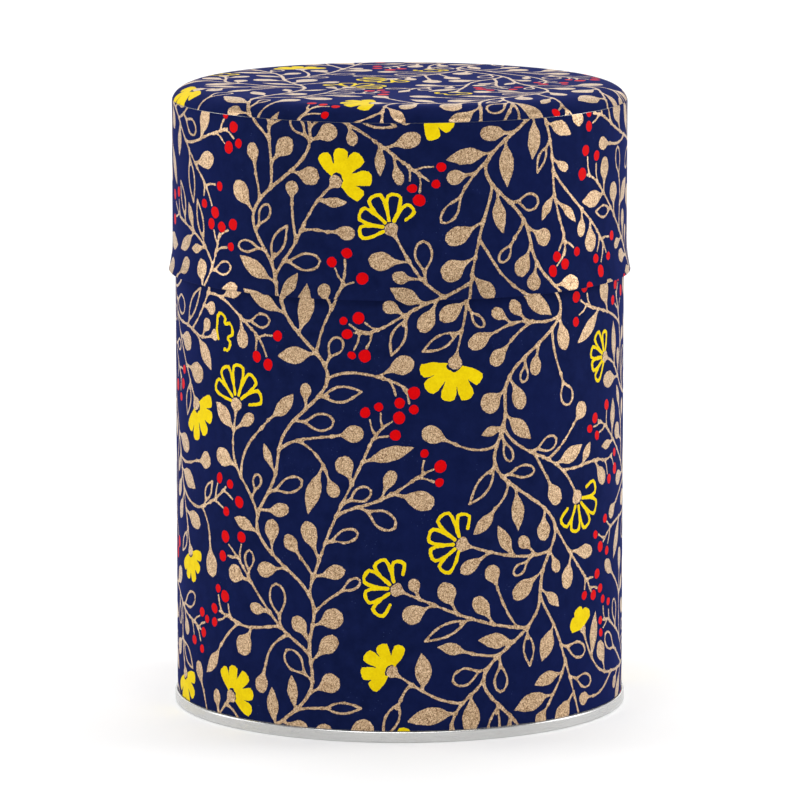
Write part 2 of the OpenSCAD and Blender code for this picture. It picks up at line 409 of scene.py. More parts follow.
def has_room(ink, p, heading, kind, clear=0.8):
    """Whether an ending has room at its tip, along its middle and on both flanks."""
    reach, half = ENDINGS[kind]
    test = [(t, 0.0) for t in (0.3, 0.55, 0.8, 1.0)]
    test += [(t, side * wide) for t, wide in ((0.35, 1.05), (0.6, 1.1), (0.85, 0.75)) for side in (1, -1)]
    spots = [p + t * reach * turn(heading) + w * half * turn(heading + math.pi / 2) for t, w in test]
    return ink.room(spots).min() > clear


def finish(ink, p, heading, kind):
    """Ends a stem as asked or in something smaller. False if nothing fits."""
    rng = ink.rng
    if kind != "berries" and has_room(ink, p, heading, kind):
        if kind == "flower":
            flower(ink, p, heading, rng.uniform(0.76, 1.05), rng.random() < OPEN_FLOWER)
        else:
            bud(ink, p, heading, rng.uniform(0.9, 1.15), rng.random() < OPEN_BUD)
        return True
    if has_room(ink, p, heading, "berries") and berries(ink, p, heading, rng.uniform(0.92, 1.1)):
        return True
    return any(leaf(ink, p, heading, shrink, 0.6) for shrink in (1.0, 0.85, 0.7))


def end_stem(ink, pts, kind):
    """Cuts a stem back until something can end it. Returns what is left."""
    for cut in range(0, max(len(pts) - 4, 0), 2):
        kept = pts[:len(pts) - cut]
        if finish(ink, kept[-1], headings(kept)[-1], kind):
            return kept
    return None


def dress(ink, pts, spacing, start=2.4, stop=1.5, sizes=(1.05, 0.95, 0.85, 0.75, 0.66)):
    """Leaves along a stem, on alternate sides, each as large as there is room for."""
    rng = ink.rng
    along = np.concatenate([[0], np.cumsum(np.linalg.norm(np.diff(pts, axis=0), axis=1))])
    heads = headings(pts)
    at, side = start + rng.uniform(0, 1.5), rng.choice((-1, 1))
    while at < along[-1] - stop:
        i = int(np.searchsorted(along, at))
        for size in sizes:
            if leaf(ink, pts[i], heads[i] + side * rng.uniform(0.55, 1.0), size):
                break
        side = -side
        at += rng.uniform(*spacing)


def limbs(ink, pts, every, reach, lean, kinds):
    """Side stems that leave a stem on alternate sides. kinds are the shares of the endings."""
    rng = ink.rng
    heads = headings(pts)
    step = np.linalg.norm(pts[1] - pts[0])
    side, i = rng.choice((-1, 1)), int(rng.uniform(3, every) / step)
    made = []
    while i < len(pts) - 3:
        leaving = heads[i] + side * rng.uniform(0.5, 0.8)
        pull = heads[i] + side * rng.uniform(*lean)
        limb = march(ink, pts[i], leaving, pull, rng.uniform(*reach))
        if len(limb) > 6 and may_leave(ink, pts[i], STALK_APART):
            limb = end_stem(ink, limb, rng.choice(list(ENDINGS), p=kinds))
            if limb is not None:
                ink.used = np.concatenate([ink.used, pts[i][None]])
                stroke(ink, limb, STEM * 0.92, TWIG)
                made.append(limb)
        side = -side
        i += int(rng.uniform(0.7, 1.3) * every / step)
    return made


def free_spot(ink, least, margin):
    """The emptiest spot, give or take; None once nothing is that empty."""
    score = (ink.free - ink.closed) * ink.rng.uniform(0.85, 1.0, ink.free.shape)
    score[(ink.cy < margin[0]) | (ink.cy > margin[1])] = 0
    if ink.rim:
        score[np.hypot(ink.cx, ink.cy) > ink.rim] = 0
    k = int(np.argmax(score))
    i, j = divmod(k, ink.cn[0])
    if score[i, j] < least:
        return None
    return np.array([ink.cx[i, j], ink.cy[i, j]])


def close_spot(ink, spot):
    _, _, at = ink.window(spot[None], SPOT, COARSE, ink.cn)
    ink.closed[at] += BIG


def branch_to(ink, target, reach, apart, terminal):
    """A branch from the best stem point to a free spot, or None."""
    rng = ink.rng
    gap = ink.toward(ink.nodes[:, :2].copy(), target)
    far = lengths(gap)
    aim = np.arctan2(gap[:, 1], gap[:, 0])
    off = half_turns(aim - ink.nodes[:, 2])
    cost = far + 9 * np.abs(np.abs(off) - 0.6) ** 1.5 + rng.uniform(0, 2.0, len(far))
    cost[(far < reach[0]) | (far > reach[1]) | (np.abs(off) > 1.5) | (np.abs(off) < 0.1)] = BIG
    for i in np.argsort(cost)[:30]:
        if cost[i] >= BIG:
            return None
        p0, p1 = ink.nodes[i, :2], ink.nodes[i, :2] + gap[i]
        a0 = ink.nodes[i, 2] + np.sign(off[i]) * np.clip(abs(off[i]) * 0.8, 0.35, 0.9)
        bend = half_turns(aim[i] - a0)
        pts = curve(p0, a0, p1, aim[i] + np.clip(bend, -0.6, 0.6) * rng.uniform(0.3, 0.9))
        test = pts[lengths(pts - p0) > 1.8]
        if len(test) and ink.room(test).min() < 0.95:
            continue
        if not may_leave(ink, p0, apart) or not terminal(pts[-1], headings(pts)[-1]):
            continue
        ink.used = np.concatenate([ink.used, p0[None]])
        stroke(ink, pts, STEM * 0.85, TWIG)
        return pts
    return None


def fill(ink, margin, counts):
    """Branches into what is still free, first with flowers, berries and buds, then with leaves."""
    stems = []
    for kind, count in counts.items():
        least, reach = GAPS[kind]

        def terminal(p, heading):
            return has_room(ink, p, heading, kind) and finish(ink, p, heading, kind)
        made = 0
        for _ in range(count * TRIES):
            spot = free_spot(ink, least, margin) if made < count else None
            if spot is None:
                break
            pts = branch_to(ink, spot, reach, STALK_APART, terminal)
            close_spot(ink, spot)
            if pts is not None:
                add_nodes(ink, pts, 2)
                dress(ink, pts, (3.4, 4.8), start=2.6, stop=2.4)
                stems.append(pts)
                made += 1
    for least, size in LEAF_GAPS:
        ink.closed[:] = 0
        for _ in range(MOST_LEAVES):
            spot = free_spot(ink, least, margin)
            if spot is None:
                break
            close_spot(ink, spot)
            branch_to(ink, spot, LEAF_REACH, LEAF_APART, lambda p, a: leaf(ink, p, a, size, 0.7))
    return stems


def roughen(ink):
    """Makes edges uneven and slightly grainy, as in hand-cut screen printing."""
    rows, cols = ink.fields["tan"].shape
    fx, fy = np.fft.rfftfreq(cols, FINE), np.fft.fftfreq(rows, FINE)[:, None]
    f = np.hypot(fx, fy)
    for size, depth in ((0.45, 0.022), (2.2, 0.03)):
        band = np.exp(-((f * size - 1) / 0.5) ** 2)
        wave = np.fft.irfft2(np.fft.rfft2(ink.rng.standard_normal((rows, cols))) * band, (rows, cols))
        for field in ink.fields.values():
            field += (depth / wave.std() * wave).astype(np.float32)


def waving(ink, low, high, x0):
    """A main stem that waves its way from one end of the sheet to the other."""
    rng = ink.rng
    y = np.linspace(low, high, int((high - low) / STEP))
    sway, wave, phase = rng.uniform(4, 7), rng.uniform(46, 70), rng.uniform(0, TURN)
    ripple = 0.3 * sway * np.sin(5 * math.pi * y / wave + 2.1 * phase)
    return np.stack([x0 + sway * np.sin(TURN * y / wave + phase) + ripple, y], 1)


def grown(ink, low, high, places, counts, margin):
    """Vines on main stems that grow up and down in turn at some places across a sheet."""
    mains = [waving(ink, low, high, x)[::-1 if i % 2 else 1] for i, x in enumerate(places)]
    for pts in mains:
        stroke(ink, pts, STEM, STEM)
    first, second = [], []
    for pts in mains:
        first += limbs(ink, pts, every=15.0, reach=(18, 36), lean=(0.4, 1.2), kinds=(0.36, 0.5, 0.14))
    for pts in first:
        second += limbs(ink, pts, every=10.0, reach=(8, 18), lean=(0.3, 1.0), kinds=(0.1, 0.75, 0.15))
    for pts in mains + first + second:
        dress(ink, pts, (2.9, 4.1), stop=2.0)
        add_nodes(ink, pts)
    later = fill(ink, margin, counts)
    for pts in mains + first + second + later:
        dress(ink, pts, (1.1, 1.9), start=1.8, stop=1.6, sizes=(0.95, 0.8, 0.66))
    roughen(ink)
    return ink


def side_sheet(width, low, high, seed):
    places = [width * (i + 0.5) / SIDE_MAINS for i in range(SIDE_MAINS)]
    ink = Ink((0, low), (width, high), True, seed)
    return grown(ink, low - 3, high + 3, places, SIDE_FILL, (low + 1, high - 1))


def top_sheet(radius, seed):
    ink = Ink((-radius - 2, -radius - 2), (radius + 2, radius + 2), False, seed, rim=radius)
    return grown(ink, -radius - 5, radius + 5, TOP_MAINS, TOP_FILL, (-radius, radius))


# ---- from ink fields to printed faces ----

GROUND, EDGE, BACK = 0, 4, 5  # materials of a sheet; those of the inks lie between
TOLERANCE = 0.01  # how far a vertex of an ink outline may lie off the line that replaces it
LONGEST = 1.3  # longest edge along an ink outline
RIM_STEP, ROW_STEP, RING_STEP = 1.2, 2.0, 1.8  # longest edge along a rim, a straight crease and a ring
SPACING, BACK_SPACING = 2.4, 4.0  # of the loose vertices, on the printed side and on the back
INK_CLEAR, CREASE_CLEAR = 0.9, 0.8  # how far they keep from ink outlines and from creases
MARK_CLEAR = 0.12  # how far regular marks along a rim keep from the ends of ink lines
JOIN = 1e-4  # vertices closer than this are one


def outlines(field, low, across):
    """Where a field changes sign inside x = across: points and the links between them."""
    first, last = np.floor((np.array(across) - low[0]) / FINE - 0.5).astype(int) + (0, 2)
    field = np.take(field, np.arange(first, last + 1), axis=1, mode="wrap")
    inside = field < 0
    at = [np.full((field.shape[0] - i, field.shape[1] - 1 + i), -1) for i in (0, 1)]
    j0, i0 = np.nonzero(inside[:, 1:] != inside[:, :-1])
    j1, i1 = np.nonzero(inside[1:] != inside[:-1])
    at[0][j0, i0] = np.arange(len(j0))
    at[1][j1, i1] = len(j0) + np.arange(len(j1))
    t0 = field[j0, i0] / (field[j0, i0] - field[j0, i0 + 1])
    t1 = field[j1, i1] / (field[j1, i1] - field[j1 + 1, i1])
    pts = np.concatenate([np.column_stack([i0 + t0, j0]), np.column_stack([i1, j1 + t1])])
    pts = low + (pts + (first + 0.5, 0.5)) * FINE
    case = inside[:-1, :-1] + 2 * inside[:-1, 1:] + 4 * inside[1:, 1:] + 8 * inside[1:, :-1]
    links = [np.zeros((0, 2), int)]
    # the sides of a cell that a line crosses: bottom, top, left, right
    for cases, sides in (((1, 14), "LB"), ((2, 13), "BR"), ((3, 12), "LR"), ((4, 11), "RT"), ((6, 9), "BT"),
                         ((7, 8), "LT"), ((5,), "LTBR"), ((10,), "LBTR")):
        j, i = np.nonzero(np.isin(case, cases))
        ends = {"B": at[0][j, i], "T": at[0][j + 1, i], "L": at[1][j, i], "R": at[1][j, i + 1]}
        for k in range(0, len(sides), 2):
            links.append(np.column_stack([ends[sides[k]], ends[sides[k + 1]]]))
    return pts, np.concatenate(links)


def thin_out(pts, links, rounds=9):
    """Drops the vertices that an outline can do without."""
    both_ways = np.concatenate([links, links[:, ::-1]])
    ends, others = both_ways[np.argsort(both_ways[:, 0], kind="stable")].T
    first = np.diff(ends, prepend=-1) > 0
    nb = np.full((len(pts), 2), -1)  # the neighbours of each vertex
    nb[ends[first], 0] = others[first]
    nb[ends[~first], 1] = others[~first]
    alive = nb[:, 0] >= 0
    rng = np.random.default_rng(1)
    for _ in range(rounds):
        a, b = nb[:, 0], nb[:, 1]
        ok = alive & (a >= 0) & (b >= 0)
        ok &= (nb[a, 0] != b) & (nb[a, 1] != b)
        chord = pts[b] - pts[a]
        size = lengths(chord)
        off = pts - pts[a]
        far = np.abs(chord[:, 0] * off[:, 1] - chord[:, 1] * off[:, 0]) / np.maximum(size, 1e-9)
        rank = np.where(ok & (far < TOLERANCE) & (size < LONGEST), rng.random(len(pts)), np.inf)
        gone = np.nonzero((rank < rank[a]) & (rank < rank[b]))[0]
        alive[gone] = False
        for x, y in ((a[gone], b[gone]), (b[gone], a[gone])):
            for k in (0, 1):
                hit = nb[x, k] == gone
                nb[x[hit], k] = y[hit]
    keep = np.nonzero(alive)[0]
    index = np.full(len(pts), -1)
    index[keep] = np.arange(len(keep))
    pairs = [np.column_stack([keep, nb[keep, k]]) for k in (0, 1)]
    pairs = np.concatenate([p[p[:, 1] > p[:, 0]] for p in pairs])
    return pts[keep], index[pairs]


def trim(pts, links, outside):
    """Cuts the links off where outside(p) passes zero."""
    far = outside(pts)
    side = far > 0
    links = links[~side[links].all(1)]
    crossing = side[links].any(1)
    cut = links[crossing]
    inner = np.where(side[cut[:, 0]], cut[:, 1], cut[:, 0])
    outer = np.where(side[cut[:, 0]], cut[:, 0], cut[:, 1])
    t = far[inner] / (far[inner] - far[outer])
    ends = pts[inner] + t[:, None] * (pts[outer] - pts[inner])
    links[crossing] = np.column_stack([inner, len(pts) + np.arange(len(ends))])
    return np.concatenate([pts, ends]), links


def ink_at(ink, pts):
    """Which ink, if any, lies at each point."""
    p = (pts - ink.low) / FINE - 0.5
    i = np.floor(p).astype(int)
    t = p - i
    found = np.full(len(pts), GROUND)
    for number, name in enumerate(INKS, GROUND + 1):
        value = 0
        for dx, dy in ((0, 0), (0, 1), (1, 0), (1, 1)):
            x, y = ink.onto(i + (dx, dy), ink.n)
            weight = (t[:, 0] if dx else 1 - t[:, 0]) * (t[:, 1] if dy else 1 - t[:, 1])
            value = value + weight * ink.fields[name][y, x]
        found[value < 0] = number
    return found


def ink_distance(ink, pts):
    """About how far each point lies from the nearest ink outline."""
    x, y = ink.onto(np.floor((pts - ink.low) / FINE).astype(int), ink.n)
    return np.min([np.abs(f[y, x]) for f in ink.fields.values()], 0)


def print_lines(ink, across, outside):
    """The points and links of all ink outlines, cut off at the sheet's edges."""
    points, lines, count = [], [], 0
    for name in INKS:
        pts, links = outlines(ink.fields[name], ink.low, across)
        for edge in outside:
            pts, links = trim(pts, links, edge)
        pts, links = thin_out(pts, links)
        points.append(pts)
        lines.append(links + count)
        count += len(pts)
    return np.concatenate(points), np.concatenate(lines)


def marks(low, high, step):
    return np.linspace(low, high, max(2, int(math.ceil((high - low) / step)) + 1))


def merged(regular, ends, apart=MARK_CLEAR):
    """Regular marks along an edge together with the ends of lines that reach it, sorted."""
    ends = np.unique(np.round(ends, 5))
    if len(ends):
        clear = np.abs(regular[:, None] - ends[None]).min(1) > apart
        clear[[0, -1]] = True
        regular = regular[clear]
    return np.unique(np.concatenate([regular, ends]))


def strip_rim(low, high, rows, columns, pts):
    """The closed outline of a strip, with a vertex wherever an ink line or a crease reaches it."""
    sides = []
    for axis, fixed, value in ((0, 1, low[1]), (1, 0, high[0]), (0, 1, high[1]), (1, 0, low[0])):
        on = np.abs(pts[:, fixed] - value) < 1e-6
        ends = np.concatenate([pts[on, axis], (columns, rows)[axis]])
        at = merged(marks(low[axis], high[axis], RIM_STEP), ends)
        side = np.empty((len(at), 2))
        side[:, axis], side[:, fixed] = at, value
        sides.append(side)
    return np.concatenate([sides[0][:-1], sides[1][:-1], sides[2][:0:-1], sides[3][:0:-1]])


def triangles(points, lines, loops):
    """Constrained Delaunay triangles of points, keeping to the lines and the loops."""
    points, lines, count = [points], [lines], len(points)
    for loop, closed in loops:
        n = len(loop)
        ids = np.arange(n) + count
        points.append(loop)
        if closed is not None:
            lines.append(np.column_stack([ids, np.roll(ids, -1)])[:n if closed else n - 1])
        count += n
    points, lines = np.concatenate(points), np.concatenate(lines)
    result = delaunay_2d_cdt([Vector(p) for p in points], lines.tolist(), [], 0, JOIN, False)
    return np.array([v[:] for v in result[0]]), np.array(result[2])


def edge_loop(faces):
    """The vertices round a mesh of triangles, in order."""
    sides = np.concatenate([faces[:, [0, 1]], faces[:, [1, 2]], faces[:, [2, 0]]])
    known = set(map(tuple, sides.tolist()))
    after = {a: b for a, b in known if (b, a) not in known}
    start = min(after)
    loop = [start]
    while after[loop[-1]] != start:
        loop.append(after[loop[-1]])
    assert len(loop) == len(after), "the sheet has more than one edge"
    return np.array(loop)


def hexes(low, high, step):
    """Points in staggered rows inside a rectangle."""
    x, y = np.meshgrid(np.arange(low[0], high[0], step), np.arange(low[1], high[1], step * 0.866))
    x[1::2] += step / 2
    return np.column_stack([x.ravel(), y.ravel()])


def off_creases(spots, level, levels):
    """The spots that keep clear of the creases, which lie at some levels of level(spots)."""
    for at in levels:
        spots = spots[np.abs(level(spots) - at) > CREASE_CLEAR]
    return spots


def two_sides(ink, lines, rim, creases, spots, wide, level, levels):
    """Points and triangles of the printed side, then those of the back and both rims. spots and wide are
    the loose vertices of the two sides."""
    spots = off_creases(spots[ink_distance(ink, spots) > INK_CLEAR], level, levels)
    front, faces = triangles(*lines, [(rim, True)] + creases + [(spots, None)])
    loop = edge_loop(faces)
    back, back_faces = triangles(np.zeros((0, 2)), np.zeros((0, 2), int),
                                 [(front[loop], True)] + creases + [(off_creases(wide, level, levels), None)])
    back_loop = edge_loop(back_faces)
    # both rims start at the same corner
    back_loop = np.roll(back_loop, -int(np.argmin(lengths(back[back_loop] - front[loop[0]]))))
    assert len(back_loop) == len(loop) and np.abs(back[back_loop] - front[loop]).max() < 0.01, "rims differ"
    return (front, faces), (back, back_faces, loop, back_loop)


def printed_strip(ink, low, high, rows, columns):
    """Both sides of a strip with creases along some rows and columns."""
    low, high = np.array(low, float), np.array(high, float)
    outside = [lambda p: low[0] - p[:, 0], lambda p: p[:, 0] - high[0],
               lambda p: low[1] - p[:, 1], lambda p: p[:, 1] - high[1]]
    lines = print_lines(ink, (low[0], high[0]), outside)
    creases = []
    for axis, places in ((0, rows), (1, columns)):
        for place in places:
            at = marks(low[axis], high[axis], ROW_STEP)
            crease = np.full((len(at), 2), place)
            crease[:, axis] = at
            creases.append((crease, False))
    rim = strip_rim(low, high, rows, columns, lines[0])
    spots, wide = hexes(low + 1.0, high - 1.0, SPACING), hexes(low + 1.5, high - 1.5, BACK_SPACING)
    return two_sides(ink, lines, rim, creases, spots, wide, lambda p: p[:, 1], rows)


def round_marks(radius, step):
    """Angles of regular marks round a circle, with the first one again at the end."""
    return np.linspace(0, TURN, 1 + int(TURN * radius / step))


def printed_disc(ink, radius, rings):
    """Both sides of a disc with creases along some rings."""
    pts, links = print_lines(ink, (ink.low[0], ink.high[0] - 2 * FINE), [lambda p: lengths(p) - radius])
    on = lengths(pts) > radius - 2e-3
    ends = np.arctan2(pts[on, 1], pts[on, 0]) % TURN
    pts[on] = radius * turned(ends)
    rim = radius * turned(merged(round_marks(radius, RIM_STEP), ends, MARK_CLEAR / radius)[:-1])
    creases = [(r * turned(round_marks(r, RING_STEP)[:-1]), True) for r in rings]
    box = np.array([radius, radius])
    spots, wide = hexes(-box, box, SPACING), hexes(-box, box, BACK_SPACING)
    spots, wide = spots[lengths(spots) < radius - 0.8], wide[lengths(wide) < radius - 1.5]
    return two_sides(ink, (pts, links), rim, creases, spots, wide, lengths, rings)


# ---- the tin's paper surfaces, from the frame and the paper's own sizes ----

MM = 0.001  # one millimetre in metres
PAPER = 0.15  # thickness of the paper
LAP = 6.0  # glued overlap at the back
RAMP = 1.2  # length over which the overlap climbs onto its own start
CLIMB = PAPER + 0.005  # how far it climbs
SPARE = 3.0  # print cut off beyond the overlap, so that it does not match there
PRINT_LOW, PRINT_HIGH = -2.0, 116.0  # the side print's sheet, before it is cut to the tin
LID_DEPTH = 34.2  # from the top down to the side paper's lower edge
LID_STEP = 0.5  # how far the lid's paper stands out over the body's
SHOULDER = (5.2, 3.2)  # width and height of the lid's rounded shoulder
CROWN, CROWN_ROWS = 0.1, 3  # rise of the top inside the shoulder
JOINT = 0.5  # height of the paper joint over the foot of the shoulder
JOINT_CUT = math.radians(1.0)  # the gap between the two papers there
FLARE, FLARE_HEIGHT = 0.76, 5.7  # how far the lid's lower edge spreads, and over what height
TURN_IN, TURN_IN_ROWS = 2.2, 4  # how far the side paper runs up inside the lid
LIP = 0.25  # depth of the middle of the lid's metal under the paper's face

body_low, body_high = (corner[2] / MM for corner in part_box("body_wrap"))
body_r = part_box("body_wrap")[1][0] / MM
lid_r = body_r + LID_STEP
top_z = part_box("lid_top_wrap")[1][2] / MM
edge_z = top_z - LID_DEPTH
shoulder_z = top_z - CROWN - SHOULDER[1]
joint_z = shoulder_z + JOINT
joint_angle = math.asin(JOINT / SHOULDER[1])
sheet_r = (lid_r + body_r) / 2
around = TURN * sheet_r  # the sheet's length once round, without its overlap


class Profile:
    """A surface of revolution: rows of (radius, height) and normals, by distance along them."""

    def __init__(self, points, normals):
        self.points, self.normals = np.array(points, float), unit(np.array(normals, float))
        steps = np.linalg.norm(np.diff(self.points, axis=0), axis=1)
        self.along = np.concatenate([[0], np.cumsum(steps)])

    def at(self, s):
        """The point and the unit normal at each distance."""
        p, n = (np.column_stack([np.interp(s, self.along, column) for column in rows.T])
                for rows in (self.points, self.normals))
        return p, unit(n)


def shoulder(angles):
    """Points and normals of the lid's elliptic shoulder."""
    wide, high = SHOULDER
    points = [(lid_r - wide + wide * math.cos(a), shoulder_z + high * math.sin(a)) for a in angles]
    return points, [(math.cos(a) / wide, math.sin(a) / high) for a in angles]


def lid_side_profile():
    """From the joint down the side, out with the flare, round the edge and up inside."""
    points, normals = shoulder(np.linspace(joint_angle, 0, 5))
    start = edge_z + FLARE_HEIGHT
    tilt = math.atan(2 * FLARE / FLARE_HEIGHT)
    metal_z = edge_z + LIP * (1 + math.sin(tilt))
    heights = np.concatenate([[start], np.linspace(start, edge_z + TURN_IN, 8)[1:],
                              np.linspace(edge_z + TURN_IN, metal_z, TURN_IN_ROWS + 1)[1:]])
    deep = (start - heights) / FLARE_HEIGHT
    side = np.column_stack([lid_r + FLARE * deep ** 2, heights])
    out = unit(np.column_stack([np.ones(len(deep)), 2 * FLARE / FLARE_HEIGHT * deep]))
    centre = side[-1] - LIP * out[-1]
    first = math.atan2(out[-1, 1], out[-1, 0])
    fold = [(math.cos(a), math.sin(a)) for a in np.linspace(first, first - math.pi, 8)[1:-1]]
    flap, flap_out = ((rows[-TURN_IN_ROWS:][::-1]).tolist() for rows in (side - 2 * LIP * out, -out))
    points += side.tolist() + [centre + LIP * np.array(f) for f in fold] + flap
    normals += out.tolist() + fold + flap_out
    return Profile(points, normals)


def lid_top_profile():
    """From the middle of the top out over the shoulder to the joint."""
    s = np.linspace(0, 1, CROWN_ROWS + 1)[:, None]
    crown = np.hstack([s * (lid_r - SHOULDER[0]), top_z - CROWN * s * s])[:-1].tolist()
    points, normals = shoulder(np.linspace(math.pi / 2, joint_angle + JOINT_CUT, 13))
    return Profile(crown + points, [(0.0, 1.0)] * CROWN_ROWS + normals)


def spun(angle, pairs):
    """(radius, height) pairs turned about the tin's axis."""
    return np.column_stack([np.cos(angle) * pairs[:, 0], np.sin(angle) * pairs[:, 0], pairs[:, 1]])


def wrapped(profile, top):
    """Puts the points of a flat strip round a profile that starts at height top on the strip."""
    def place(flat):
        p, n = profile.at(top - flat[:, 1])
        angle = math.pi / 2 + (flat[:, 0] - LAP / 2) / sheet_r
        t = np.clip((flat[:, 0] - around + RAMP) / RAMP, 0, 1)
        lift = CLIMB * t * t * (3 - 2 * t)
        slope = CLIMB * 6 * t * (1 - t) / RAMP
        outward = spun(angle, n)
        along = np.column_stack([-np.sin(angle), np.cos(angle), np.zeros(len(angle))])
        return spun(angle, p) + lift[:, None] * outward, unit(outward - slope[:, None] * along)
    return place


def domed(profile):
    """Puts the points of a flat disc over a profile that starts on the axis."""
    def place(flat):
        far = lengths(flat)
        p, n = profile.at(far)
        way = flat / np.maximum(far, 1e-9)[:, None]
        return np.column_stack([way * p[:, :1], p[:, 1]]), np.column_stack([way * n[:, :1], n[:, 1]])
    return place


def linked(name, data):
    made = bpy.data.objects.new(name, data)
    bpy.context.scene.collection.objects.link(made)
    return made


def paper_piece(name, ink, sides, place, node, body):
    """A closed printed sheet of real thickness that stands for a CAD node."""
    (front, faces), (back, back_faces, loop, back_loop) = sides
    where, normal = place(front)
    behind, behind_normal = place(back)
    points = np.concatenate([where, behind - PAPER * behind_normal]) * MM
    inner = len(front)
    a, b = loop, np.roll(loop, -1)
    c, d = np.roll(back_loop, -1) + inner, back_loop + inner
    rim = np.column_stack([b, a, d, c])
    both = np.concatenate([faces, back_faces[:, ::-1] + inner])
    mesh = bpy.data.meshes.new(name)
    mesh.from_pydata(points.tolist(), [], both.tolist() + rim.tolist())
    inks = ink_at(ink, front[faces].mean(1))
    kinds = np.concatenate([inks, np.full(len(back_faces), BACK), np.full(len(rim), EDGE)])
    for material in paper_materials:
        mesh.materials.append(material)
    mesh.polygons.foreach_set("material_index", kinds.astype(np.int32))
    mesh.polygons.foreach_set("use_smooth", np.ones(len(kinds), bool))
    cut = np.cross(points[a] - points[b], points[d] - points[b])
    cut /= np.maximum(np.linalg.norm(cut, axis=1), 1e-12)[:, None]
    shade = np.concatenate([normal[faces].reshape(-1, 3), -behind_normal[back_faces[:, ::-1]].reshape(-1, 3),
                            np.repeat(cut, 4, 0)])
    mesh.normals_split_custom_set(shade.tolist())
    piece = linked(name, mesh)
    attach(piece, body)
    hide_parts(node)


# ---- materials ----

class Shader:
    """A material's node tree. Inputs are named with _ for a space and given as values or sockets."""

    def __init__(self, name):
        self.material = bpy.data.materials.new(name)
        self.material.use_nodes = True
        self.nodes, self.links = self.material.node_tree.nodes, self.material.node_tree.links
        self.object = self.add("ShaderNodeTexCoord").outputs["Object"]

    def add(self, kind, **inputs):
        return self.set(self.nodes.new(kind), **inputs)

    def feed(self, socket, value):
        if isinstance(value, bpy.types.NodeSocket):
            self.links.new(value, socket)
        else:
            socket.default_value = value

    def set(self, node, **inputs):
        for key, value in inputs.items():
            self.feed(node.inputs[key.replace("_", " ")], value)
        return node

    def made(self, **inputs):
        """The material, once its surface is set."""
        self.set(self.nodes["Principled BSDF"], **inputs)
        return self.material

    def stretched(self, scale):
        return self.add("ShaderNodeMapping", Vector=self.object, Scale=scale).outputs["Vector"]

    def noise(self, scale, detail=2.0, roughness=0.5, vector=None, distortion=0.0):
        node = self.add("ShaderNodeTexNoise", Vector=vector or self.object, Scale=scale, Detail=detail,
                        Roughness=roughness, Distortion=distortion)
        return node.outputs["Fac"]

    def cells(self, scale):
        return self.add("ShaderNodeTexVoronoi", Vector=self.object, Scale=scale).outputs["Distance"]

    def span(self, value, low, high, to_low=0.0, to_high=1.0):
        return self.add("ShaderNodeMapRange", Value=value, From_Min=low, From_Max=high, To_Min=to_low,
                        To_Max=to_high).outputs["Result"]

    def numbered(self, kind, setting, value, inputs, output):
        """An output of a node whose sockets share names and go by number."""
        node = self.add(kind)
        setattr(node, setting, value)
        for number, given in inputs.items():
            self.feed(node.inputs[number], given)
        return node.outputs[output]

    def math(self, how, a, b):
        return self.numbered("ShaderNodeMath", "operation", how, {0: a, 1: b}, 0)

    def mix(self, factor, a, b):
        return self.numbered("ShaderNodeMix", "data_type", "RGBA", {0: factor, 6: a, 7: b}, 2)

    def bump(self, height, strength, distance, under=None):
        node = self.add("ShaderNodeBump", Height=height, Strength=strength, Distance=distance)
        if under:
            self.links.new(under, node.inputs["Normal"])
        return node.outputs["Normal"]


def srgb(r, g, b):
    linear = [c / 255 / 12.92 if c <= 10.3 else ((c / 255 + 0.055) / 1.055) ** 2.4 for c in (r, g, b)]
    return (*linear, 1.0)


def fibres(s):
    """Height of the paper's fibres and slight cockling."""
    long_way = s.noise(900, 3.0, 0.6, s.stretched((1.0, 1.0, 0.35)), 0.6)
    fine = s.noise(4200, 2.0, 0.55)
    return s.math("ADD", s.math("MULTIPLY", long_way, 0.6), s.math("MULTIPLY", fine, 0.4))


def printed_ground(name):
    s = Shader(name)
    mottle = s.span(s.noise(420, 4.0, 0.65), 0.3, 0.7)
    cloud = s.span(s.noise(38, 3.0, 0.5), 0.35, 0.65)
    colour = s.mix(mottle, srgb(13, 21, 54), srgb(20, 29, 68))
    colour = s.mix(s.math("MULTIPLY", cloud, 0.35), colour, srgb(16, 25, 72))
    specks = s.span(s.cells(1500), 0.16, 0.05)
    rare = s.span(s.noise(210, 1.0), 0.60, 0.66)
    colour = s.mix(s.math("MULTIPLY", s.math("MULTIPLY", specks, rare), 0.4), colour, srgb(80, 92, 142))
    return s.made(Base_Color=colour, Roughness=s.span(mottle, 0, 1, 0.5, 0.62), Specular_IOR_Level=0.002,
                  Sheen_Weight=0.115, Sheen_Roughness=0.45, Sheen_Tint=srgb(96, 110, 255),
                  Normal=s.bump(fibres(s), 0.35, 0.00004))


def printed_gold(name):
    """Granular gold ink: darker and brighter grains, with a metallic glint."""
    s = Shader(name)
    grain = s.noise(5200, 2.0, 0.7)
    coarse = s.noise(1900, 3.0, 0.6)
    both = s.math("ADD", s.math("MULTIPLY", grain, 0.75), s.math("MULTIPLY", coarse, 0.25))
    colour = s.mix(s.span(both, 0.4, 0.5), srgb(112, 84, 60), srgb(185, 153, 116))
    colour = s.mix(s.span(both, 0.5, 0.6), colour, srgb(229, 201, 167))
    return s.made(Base_Color=colour, Roughness=s.span(grain, 0.3, 0.7, 0.3, 0.45), Metallic=0.8,
                  Normal=s.bump(both, 0.5, 0.00005))


